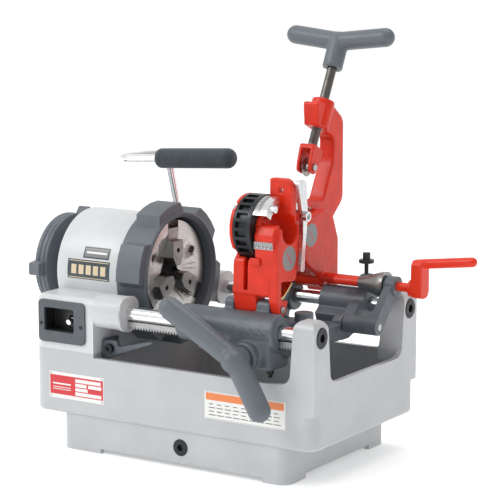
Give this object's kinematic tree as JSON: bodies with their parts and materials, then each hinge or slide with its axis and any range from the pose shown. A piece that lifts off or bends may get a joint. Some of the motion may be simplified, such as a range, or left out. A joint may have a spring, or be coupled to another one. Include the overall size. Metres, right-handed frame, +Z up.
{
  "type": "pipe threading machine",
  "caption": "Bench pipe threading machine: hollow spindle with scroll chucks and hand ring, and a carriage on two bars with raised die head, pipe cutter and reamer.",
  "frame": {"origin": "on the bench, under the centre of the overall box", "axes": "+X along the spindle from the chuck to the carriage, -Y towards the operator, +Z up"},
  "size_m": [0.639, 0.4362, 0.5944],
  "materials": {
    "light_paint": "satin",
    "dark_paint": "satin",
    "red_paint": "satin",
    "steel": "ground",
    "bright_steel": "polished",
    "black_steel": "blackened",
    "rubber": "ribbed",
    "dark_plastic": "matte",
    "toggle_metal": "polished",
    "motor_case": "cast"
  },
  "bodies": {
    "frame": {"base_casting": "light_paint", "headstock_case": "light_paint", "front_guide_bar": "bright_steel", "rear_guide_bar": "bright_steel", "bar_end_bolts": "black_steel", "bar_bosses": "light_paint", "switch_plate": "dark_plastic", "switch_screws": "steel", "switch_box": "dark_plastic", "drain_plug": "black_steel", "stop_arm": "dark_paint", "stop_arm_bolt": "steel", "feed_rack": "steel", "carry_handle_rod": "bright_steel", "carry_handle_grip": "rubber", "motor": "motor_case", "gear_plate": "steel", "spindle_bearings": "steel"},
    "switch": {"switch_toggle": "toggle_metal"},
    "rotor": {"motor_pinion": "steel"},
    "layshaft": {"countershaft": "steel"},
    "spindle": {"spindle_tube": "steel", "chuck_body": "steel", "spindle_gear": "steel", "rear_chuck_body": "steel"},
    "hand_ring": {"chuck_hand_ring": "dark_paint"},
    "rear_wheel": {"rear_chuck_wheel": "dark_paint"},
    "carriage": {"carriage": "dark_paint", "die_head_hinge_pin": "steel", "cutter_hinge_pin": "steel", "reamer_pivot_pin": "steel", "housing_screw": "steel", "hinge_lock_knob": "dark_plastic"},
    "feed": {"feed_handle": "dark_paint", "pinion_shaft": "steel"},
    "die_head": {"die_head_body": "red_paint"},
    "cam": {"die_cam_ring": "black_steel", "die_head_lever": "bright_steel"},
    "cutter": {"cutter_frame": "red_paint", "cutter_roller_pins": "steel"},
    "holder": {"cutter_holder": "red_paint", "wheel_pin": "steel"},
    "blade": {"cutter_wheel": "steel"},
    "screw": {"cutter_screw": "steel", "t_handle": "dark_paint"},
    "reamer_link": {"reamer_arm": "dark_paint"},
    "reamer": {"reamer_crank": "red_paint", "reamer_cone": "steel"},
    "jaw_1": {"chuck_jaw_1": "steel"},
    "back_jaw_1": {"rear_jaw_1": "steel"},
    "jaw_2": {"chuck_jaw_2": "steel"},
    "back_jaw_2": {"rear_jaw_2": "steel"},
    "jaw_3": {"chuck_jaw_3": "steel"},
    "back_jaw_3": {"rear_jaw_3": "steel"},
    "die_1": {"die_1": "steel"},
    "die_2": {"die_2": "steel"},
    "die_3": {"die_3": "steel"},
    "die_4": {"die_4": "steel"},
    "roller_1": {"cutter_roller_1": "steel"},
    "roller_2": {"cutter_roller_2": "steel"}
  },
  "joints": [
    {"name": "spindle_spin", "type": "hinge", "parent": "frame", "child": "spindle", "pos_m": [-0.2225, -0.01815, 0.244], "axis": [1, 0, 0], "continuous": true},
    {"name": "countershaft_spin", "type": "hinge", "parent": "frame", "child": "layshaft", "pos_m": [-0.1825, -0.01815, 0.1735], "axis": [1, 0, 0], "continuous": true},
    {"name": "motor_spin", "type": "hinge", "parent": "frame", "child": "rotor", "pos_m": [-0.1975, -0.01815, 0.1285], "axis": [1, 0, 0], "continuous": true},
    {"name": "switch_flip", "type": "hinge", "parent": "frame", "child": "switch", "pos_m": [-0.2055, -0.14615, 0.188], "axis": [1, 0, 0], "range_deg": [-28, 0]},
    {"name": "chuck_ring_turn", "type": "hinge", "parent": "spindle", "child": "hand_ring", "pos_m": [-0.1305, -0.01815, 0.244], "axis": [1, 0, 0], "range_deg": [-40, 30]},
    {"name": "rear_wheel_turn", "type": "hinge", "parent": "spindle", "child": "rear_wheel", "pos_m": [-0.3085, -0.01815, 0.244], "axis": [1, 0, 0], "range_deg": [-30, 15]},
    {"name": "carriage_slide", "type": "slide", "parent": "frame", "child": "carriage", "axis": [1, 0, 0], "range_m": [-0.088, 0.025]},
    {"name": "feed_turn", "type": "hinge", "parent": "carriage", "child": "feed", "pos_m": [0.1015, -0.16815, 0.174], "axis": [0, 1, 0], "range_deg": [-125, 435]},
    {"name": "die_head_swing", "type": "hinge", "parent": "carriage", "child": "die_head", "pos_m": [0.0795, -0.12615, 0.233], "axis": [1, 0, 0], "range_deg": [-74, 0]},
    {"name": "die_cam_turn", "type": "hinge", "parent": "die_head", "child": "cam", "pos_m": [0.0825, -0.10693, 0.33984], "axis": [1, 0, 0], "range_deg": [0, 12]},
    {"name": "cutter_swing", "type": "hinge", "parent": "carriage", "child": "cutter", "pos_m": [0.0275, 0.10585, 0.236], "axis": [1, 0, 0], "range_deg": [0, 79.7]},
    {"name": "holder_slide", "type": "slide", "parent": "cutter", "child": "holder", "axis": [0, -0.454, -0.891], "range_m": [-0.0041, 0.0221]},
    {"name": "screw_turn", "type": "hinge", "parent": "holder", "child": "screw", "pos_m": [0.0275, 0.15965, 0.49305], "axis": [0, -0.454, -0.891], "range_deg": [-480, 2640]},
    {"name": "cutter_wheel_spin", "type": "hinge", "parent": "holder", "child": "blade", "pos_m": [0.0275, 0.10971, 0.39504], "axis": [1, 0, 0], "continuous": true},
    {"name": "reamer_swing", "type": "hinge", "parent": "carriage", "child": "reamer_link", "pos_m": [0.1875, 0.02745, 0.19], "axis": [1, 0, 0], "range_deg": [0, 84.6]},
    {"name": "reamer_spin", "type": "hinge", "parent": "reamer_link", "child": "reamer", "pos_m": [0.1885, 0.07685, 0.2405], "axis": [1, 0, 0], "continuous": true},
    {"name": "chuck_jaw_1_slide", "type": "slide", "parent": "spindle", "child": "jaw_1", "axis": [0, 0, 1], "range_m": [-0.0081, 0.0061]},
    {"name": "rear_jaw_1_slide", "type": "slide", "parent": "spindle", "child": "back_jaw_1", "axis": [0, 0, 1], "range_m": [-0.0061, 0.0031]},
    {"name": "chuck_jaw_2_slide", "type": "slide", "parent": "spindle", "child": "jaw_2", "axis": [0, -0.866, -0.5], "range_m": [-0.0081, 0.0061]},
    {"name": "rear_jaw_2_slide", "type": "slide", "parent": "spindle", "child": "back_jaw_2", "axis": [0, -0.866, -0.5], "range_m": [-0.0061, 0.0031]},
    {"name": "chuck_jaw_3_slide", "type": "slide", "parent": "spindle", "child": "jaw_3", "axis": [0, 0.866, -0.5], "range_m": [-0.0081, 0.0061]},
    {"name": "rear_jaw_3_slide", "type": "slide", "parent": "spindle", "child": "back_jaw_3", "axis": [0, 0.866, -0.5], "range_m": [-0.0061, 0.0031]},
    {"name": "die_1_slide", "type": "slide", "parent": "die_head", "child": "die_1", "axis": [0, 0.7071, 0.7071], "range_m": [0, 0.003]},
    {"name": "die_2_slide", "type": "slide", "parent": "die_head", "child": "die_2", "axis": [0, -0.7071, 0.7071], "range_m": [0, 0.003]},
    {"name": "die_3_slide", "type": "slide", "parent": "die_head", "child": "die_3", "axis": [0, -0.7071, -0.7071], "range_m": [0, 0.003]},
    {"name": "die_4_slide", "type": "slide", "parent": "die_head", "child": "die_4", "axis": [0, 0.7071, -0.7071], "range_m": [0, 0.003]},
    {"name": "roller_1_spin", "type": "hinge", "parent": "cutter", "child": "roller_1", "pos_m": [0.0275, 0.06778, 0.35019], "axis": [1, 0, 0], "continuous": true},
    {"name": "roller_2_spin", "type": "hinge", "parent": "cutter", "child": "roller_2", "pos_m": [0.0275, 0.09807, 0.33475], "axis": [1, 0, 0], "continuous": true}
  ],
  "couplings": [
    {"joint": "countershaft_spin", "follows": "spindle_spin", "ratio": -5.7143},
    {"joint": "motor_spin", "follows": "spindle_spin", "ratio": 8.5714},
    {"joint": "feed_turn", "follows": "carriage_slide", "rad_per_m": -83.333},
    {"joint": "holder_slide", "follows": "screw_turn", "m_per_rad": 0.000477},
    {"joint": "chuck_jaw_1_slide", "follows": "chuck_ring_turn", "m_per_rad": 0.01146},
    {"joint": "rear_jaw_1_slide", "follows": "rear_wheel_turn", "m_per_rad": 0.01146},
    {"joint": "chuck_jaw_2_slide", "follows": "chuck_ring_turn", "m_per_rad": 0.01146},
    {"joint": "rear_jaw_2_slide", "follows": "rear_wheel_turn", "m_per_rad": 0.01146},
    {"joint": "chuck_jaw_3_slide", "follows": "chuck_ring_turn", "m_per_rad": 0.01146},
    {"joint": "rear_jaw_3_slide", "follows": "rear_wheel_turn", "m_per_rad": 0.01146},
    {"joint": "die_1_slide", "follows": "die_cam_turn", "m_per_rad": 0.0143},
    {"joint": "die_2_slide", "follows": "die_cam_turn", "m_per_rad": 0.0143},
    {"joint": "die_3_slide", "follows": "die_cam_turn", "m_per_rad": 0.0143},
    {"joint": "die_4_slide", "follows": "die_cam_turn", "m_per_rad": 0.0143}
  ]
}
